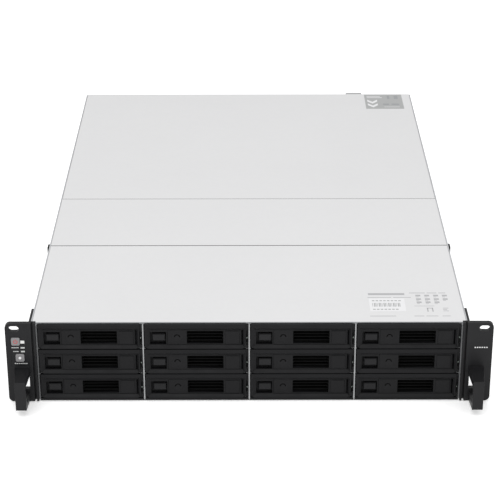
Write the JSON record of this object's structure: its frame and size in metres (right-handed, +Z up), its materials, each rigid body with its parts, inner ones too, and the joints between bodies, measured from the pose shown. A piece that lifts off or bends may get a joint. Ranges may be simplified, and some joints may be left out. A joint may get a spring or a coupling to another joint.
{
  "type": "rack storage server",
  "caption": "Rack network storage box with hot-swap drive trays in front, fan door and sliding rear lid, fans, boards and hot-swap power supplies inside.",
  "frame": {"origin": "centre of the flat underside, which is the unit's lowest plane", "axes": "+X to the right seen from the front, +Y from the drive trays to the back, +Z up"},
  "size_m": [0.4826, 0.723, 0.088],
  "materials": {
    "lid_paint": "light grey satin powder coat",
    "zinc_steel": "galvanised sheet",
    "latch_plastic": "black, fine texture",
    "lever_plastic": "black, fine texture",
    "button_plastic": "charcoal, fine texture",
    "tray_plastic": "black, fine texture",
    "ear_plastic": "black satin",
    "key_plastic": "grey satin",
    "circuit_board": "green solder mask",
    "heatsink_metal": "extruded, bare",
    "fan_plastic": "black moulded",
    "psu_steel": "galvanised sheet",
    "psu_latch_plastic": "green thumb latch"
  },
  "bodies": {
    "root": {"chassis_base": "zinc_steel", "front_cover": "lid_paint", "rear_panel": "zinc_steel", "drive_cage": "zinc_steel", "backplane": "circuit_board", "fan_frames": "fan_plastic", "main_board": "circuit_board", "cpu_heatsink": "heatsink_metal", "left_ear": "ear_plastic", "right_ear": "ear_plastic"},
    "fan_door": {"fan_door": "lid_paint"},
    "rear_cover": {"rear_cover": "lid_paint"},
    "cover_latch_left": {"cover_latch_left": "latch_plastic"},
    "cover_latch_right": {"cover_latch_right": "latch_plastic"},
    "fan_rotor_1": {"fan_rotor_1": "fan_plastic"},
    "fan_rotor_2": {"fan_rotor_2": "fan_plastic"},
    "fan_rotor_3": {"fan_rotor_3": "fan_plastic"},
    "fan_rotor_4": {"fan_rotor_4": "fan_plastic"},
    "psu_lower": {"psu_lower": "psu_steel"},
    "psu_latch_lower": {"psu_latch_lower": "psu_latch_plastic"},
    "psu_upper": {"psu_upper": "psu_steel"},
    "psu_latch_upper": {"psu_latch_upper": "psu_latch_plastic"},
    "power_button": {"power_button": "key_plastic"},
    "select_button": {"select_button": "key_plastic"},
    "tray_r1c1": {"tray_r1c1": "tray_plastic"},
    "tray_lever_r1c1": {"tray_lever_r1c1": "lever_plastic"},
    "tray_button_r1c1": {"tray_button_r1c1": "button_plastic"},
    "tray_r1c2": {"tray_r1c2": "tray_plastic"},
    "tray_lever_r1c2": {"tray_lever_r1c2": "lever_plastic"},
    "tray_button_r1c2": {"tray_button_r1c2": "button_plastic"},
    "tray_r1c3": {"tray_r1c3": "tray_plastic"},
    "tray_lever_r1c3": {"tray_lever_r1c3": "lever_plastic"},
    "tray_button_r1c3": {"tray_button_r1c3": "button_plastic"},
    "tray_r1c4": {"tray_r1c4": "tray_plastic"},
    "tray_lever_r1c4": {"tray_lever_r1c4": "lever_plastic"},
    "tray_button_r1c4": {"tray_button_r1c4": "button_plastic"},
    "tray_r2c1": {"tray_r2c1": "tray_plastic"},
    "tray_lever_r2c1": {"tray_lever_r2c1": "lever_plastic"},
    "tray_button_r2c1": {"tray_button_r2c1": "button_plastic"},
    "tray_r2c2": {"tray_r2c2": "tray_plastic"},
    "tray_lever_r2c2": {"tray_lever_r2c2": "lever_plastic"},
    "tray_button_r2c2": {"tray_button_r2c2": "button_plastic"},
    "tray_r2c3": {"tray_r2c3": "tray_plastic"},
    "tray_lever_r2c3": {"tray_lever_r2c3": "lever_plastic"},
    "tray_button_r2c3": {"tray_button_r2c3": "button_plastic"},
    "tray_r2c4": {"tray_r2c4": "tray_plastic"},
    "tray_lever_r2c4": {"tray_lever_r2c4": "lever_plastic"},
    "tray_button_r2c4": {"tray_button_r2c4": "button_plastic"},
    "tray_r3c1": {"tray_r3c1": "tray_plastic"},
    "tray_lever_r3c1": {"tray_lever_r3c1": "lever_plastic"},
    "tray_button_r3c1": {"tray_button_r3c1": "button_plastic"},
    "tray_r3c2": {"tray_r3c2": "tray_plastic"},
    "tray_lever_r3c2": {"tray_lever_r3c2": "lever_plastic"},
    "tray_button_r3c2": {"tray_button_r3c2": "button_plastic"},
    "tray_r3c3": {"tray_r3c3": "tray_plastic"},
    "tray_lever_r3c3": {"tray_lever_r3c3": "lever_plastic"},
    "tray_button_r3c3": {"tray_button_r3c3": "button_plastic"},
    "tray_r3c4": {"tray_r3c4": "tray_plastic"},
    "tray_lever_r3c4": {"tray_lever_r3c4": "lever_plastic"},
    "tray_button_r3c4": {"tray_button_r3c4": "button_plastic"}
  },
  "joints": [
    {"name": "fan_door_hinge", "type": "hinge", "parent": "root", "child": "fan_door", "pos_m": [0, -0.0317, 0.083], "axis": [-1, 0, 0], "range_deg": [0, 100]},
    {"name": "rear_cover_slide", "type": "slide", "parent": "root", "child": "rear_cover", "axis": [0, 1, 0], "range_m": [0, 0.012]},
    {"name": "cover_latch_left_press", "type": "slide", "parent": "root", "child": "cover_latch_left", "axis": [1, 0, 0], "range_m": [0, 0.002], "stiffness_N_per_m": 300},
    {"name": "cover_latch_right_press", "type": "slide", "parent": "root", "child": "cover_latch_right", "axis": [-1, 0, 0], "range_m": [0, 0.002], "stiffness_N_per_m": 300},
    {"name": "fan_rotor_1_spin", "type": "hinge", "parent": "root", "child": "fan_rotor_1", "pos_m": [-0.1578, -0.1103, 0.0435], "axis": [0, 1, 0], "continuous": true},
    {"name": "fan_rotor_2_spin", "type": "hinge", "parent": "root", "child": "fan_rotor_2", "pos_m": [-0.0526, -0.1103, 0.0435], "axis": [0, 1, 0], "continuous": true},
    {"name": "fan_rotor_3_spin", "type": "hinge", "parent": "root", "child": "fan_rotor_3", "pos_m": [0.0526, -0.1103, 0.0435], "axis": [0, 1, 0], "continuous": true},
    {"name": "fan_rotor_4_spin", "type": "hinge", "parent": "root", "child": "fan_rotor_4", "pos_m": [0.1578, -0.1103, 0.0435], "axis": [0, 1, 0], "continuous": true},
    {"name": "psu_lower_slide", "type": "slide", "parent": "root", "child": "psu_lower", "axis": [0, 1, 0], "range_m": [0, 0.185]},
    {"name": "psu_latch_lower_slide", "type": "slide", "parent": "psu_lower", "child": "psu_latch_lower", "axis": [1, 0, 0], "range_m": [0, 0.003], "stiffness_N_per_m": 300},
    {"name": "psu_upper_slide", "type": "slide", "parent": "root", "child": "psu_upper", "axis": [0, 1, 0], "range_m": [0, 0.185]},
    {"name": "psu_latch_upper_slide", "type": "slide", "parent": "psu_upper", "child": "psu_latch_upper", "axis": [1, 0, 0], "range_m": [0, 0.003], "stiffness_N_per_m": 300},
    {"name": "power_button_press", "type": "slide", "parent": "root", "child": "power_button", "axis": [0, 1, 0], "range_m": [0, 0.0008], "stiffness_N_per_m": 300},
    {"name": "select_button_press", "type": "slide", "parent": "root", "child": "select_button", "axis": [0, 1, 0], "range_m": [0, 0.0008], "stiffness_N_per_m": 300},
    {"name": "tray_r1c1_slide", "type": "slide", "parent": "root", "child": "tray_r1c1", "axis": [0, -1, 0], "range_m": [0, 0.16]},
    {"name": "tray_lever_r1c1_hinge", "type": "hinge", "parent": "tray_r1c1", "child": "tray_lever_r1c1", "pos_m": [-0.1144, -0.3274, 0.0157], "axis": [0, 0, 1], "range_deg": [0, 60]},
    {"name": "tray_button_r1c1_press", "type": "slide", "parent": "tray_r1c1", "child": "tray_button_r1c1", "axis": [0, 1, 0], "range_m": [0, 0.002], "stiffness_N_per_m": 300},
    {"name": "tray_r1c2_slide", "type": "slide", "parent": "root", "child": "tray_r1c2", "axis": [0, -1, 0], "range_m": [0, 0.16]},
    {"name": "tray_lever_r1c2_hinge", "type": "hinge", "parent": "tray_r1c2", "child": "tray_lever_r1c2", "pos_m": [-0.0092, -0.3274, 0.0157], "axis": [0, 0, 1], "range_deg": [0, 60]},
    {"name": "tray_button_r1c2_press", "type": "slide", "parent": "tray_r1c2", "child": "tray_button_r1c2", "axis": [0, 1, 0], "range_m": [0, 0.002], "stiffness_N_per_m": 300},
    {"name": "tray_r1c3_slide", "type": "slide", "parent": "root", "child": "tray_r1c3", "axis": [0, -1, 0], "range_m": [0, 0.16]},
    {"name": "tray_lever_r1c3_hinge", "type": "hinge", "parent": "tray_r1c3", "child": "tray_lever_r1c3", "pos_m": [0.096, -0.3274, 0.0157], "axis": [0, 0, 1], "range_deg": [0, 60]},
    {"name": "tray_button_r1c3_press", "type": "slide", "parent": "tray_r1c3", "child": "tray_button_r1c3", "axis": [0, 1, 0], "range_m": [0, 0.002], "stiffness_N_per_m": 300},
    {"name": "tray_r1c4_slide", "type": "slide", "parent": "root", "child": "tray_r1c4", "axis": [0, -1, 0], "range_m": [0, 0.16]},
    {"name": "tray_lever_r1c4_hinge", "type": "hinge", "parent": "tray_r1c4", "child": "tray_lever_r1c4", "pos_m": [0.2012, -0.3274, 0.0157], "axis": [0, 0, 1], "range_deg": [0, 60]},
    {"name": "tray_button_r1c4_press", "type": "slide", "parent": "tray_r1c4", "child": "tray_button_r1c4", "axis": [0, 1, 0], "range_m": [0, 0.002], "stiffness_N_per_m": 300},
    {"name": "tray_r2c1_slide", "type": "slide", "parent": "root", "child": "tray_r2c1", "axis": [0, -1, 0], "range_m": [0, 0.16]},
    {"name": "tray_lever_r2c1_hinge", "type": "hinge", "parent": "tray_r2c1", "child": "tray_lever_r2c1", "pos_m": [-0.1144, -0.3274, 0.0436], "axis": [0, 0, 1], "range_deg": [0, 60]},
    {"name": "tray_button_r2c1_press", "type": "slide", "parent": "tray_r2c1", "child": "tray_button_r2c1", "axis": [0, 1, 0], "range_m": [0, 0.002], "stiffness_N_per_m": 300},
    {"name": "tray_r2c2_slide", "type": "slide", "parent": "root", "child": "tray_r2c2", "axis": [0, -1, 0], "range_m": [0, 0.16]},
    {"name": "tray_lever_r2c2_hinge", "type": "hinge", "parent": "tray_r2c2", "child": "tray_lever_r2c2", "pos_m": [-0.0092, -0.3274, 0.0436], "axis": [0, 0, 1], "range_deg": [0, 60]},
    {"name": "tray_button_r2c2_press", "type": "slide", "parent": "tray_r2c2", "child": "tray_button_r2c2", "axis": [0, 1, 0], "range_m": [0, 0.002], "stiffness_N_per_m": 300},
    {"name": "tray_r2c3_slide", "type": "slide", "parent": "root", "child": "tray_r2c3", "axis": [0, -1, 0], "range_m": [0, 0.16]},
    {"name": "tray_lever_r2c3_hinge", "type": "hinge", "parent": "tray_r2c3", "child": "tray_lever_r2c3", "pos_m": [0.096, -0.3274, 0.0436], "axis": [0, 0, 1], "range_deg": [0, 60]},
    {"name": "tray_button_r2c3_press", "type": "slide", "parent": "tray_r2c3", "child": "tray_button_r2c3", "axis": [0, 1, 0], "range_m": [0, 0.002], "stiffness_N_per_m": 300},
    {"name": "tray_r2c4_slide", "type": "slide", "parent": "root", "child": "tray_r2c4", "axis": [0, -1, 0], "range_m": [0, 0.16]},
    {"name": "tray_lever_r2c4_hinge", "type": "hinge", "parent": "tray_r2c4", "child": "tray_lever_r2c4", "pos_m": [0.2012, -0.3274, 0.0436], "axis": [0, 0, 1], "range_deg": [0, 60]},
    {"name": "tray_button_r2c4_press", "type": "slide", "parent": "tray_r2c4", "child": "tray_button_r2c4", "axis": [0, 1, 0], "range_m": [0, 0.002], "stiffness_N_per_m": 300},
    {"name": "tray_r3c1_slide", "type": "slide", "parent": "root", "child": "tray_r3c1", "axis": [0, -1, 0], "range_m": [0, 0.16]},
    {"name": "tray_lever_r3c1_hinge", "type": "hinge", "parent": "tray_r3c1", "child": "tray_lever_r3c1", "pos_m": [-0.1144, -0.3274, 0.0715], "axis": [0, 0, 1], "range_deg": [0, 60]},
    {"name": "tray_button_r3c1_press", "type": "slide", "parent": "tray_r3c1", "child": "tray_button_r3c1", "axis": [0, 1, 0], "range_m": [0, 0.002], "stiffness_N_per_m": 300},
    {"name": "tray_r3c2_slide", "type": "slide", "parent": "root", "child": "tray_r3c2", "axis": [0, -1, 0], "range_m": [0, 0.16]},
    {"name": "tray_lever_r3c2_hinge", "type": "hinge", "parent": "tray_r3c2", "child": "tray_lever_r3c2", "pos_m": [-0.0092, -0.3274, 0.0715], "axis": [0, 0, 1], "range_deg": [0, 60]},
    {"name": "tray_button_r3c2_press", "type": "slide", "parent": "tray_r3c2", "child": "tray_button_r3c2", "axis": [0, 1, 0], "range_m": [0, 0.002], "stiffness_N_per_m": 300},
    {"name": "tray_r3c3_slide", "type": "slide", "parent": "root", "child": "tray_r3c3", "axis": [0, -1, 0], "range_m": [0, 0.16]},
    {"name": "tray_lever_r3c3_hinge", "type": "hinge", "parent": "tray_r3c3", "child": "tray_lever_r3c3", "pos_m": [0.096, -0.3274, 0.0715], "axis": [0, 0, 1], "range_deg": [0, 60]},
    {"name": "tray_button_r3c3_press", "type": "slide", "parent": "tray_r3c3", "child": "tray_button_r3c3", "axis": [0, 1, 0], "range_m": [0, 0.002], "stiffness_N_per_m": 300},
    {"name": "tray_r3c4_slide", "type": "slide", "parent": "root", "child": "tray_r3c4", "axis": [0, -1, 0], "range_m": [0, 0.16]},
    {"name": "tray_lever_r3c4_hinge", "type": "hinge", "parent": "tray_r3c4", "child": "tray_lever_r3c4", "pos_m": [0.2012, -0.3274, 0.0715], "axis": [0, 0, 1], "range_deg": [0, 60]},
    {"name": "tray_button_r3c4_press", "type": "slide", "parent": "tray_r3c4", "child": "tray_button_r3c4", "axis": [0, 1, 0], "range_m": [0, 0.002], "stiffness_N_per_m": 300}
  ]
}
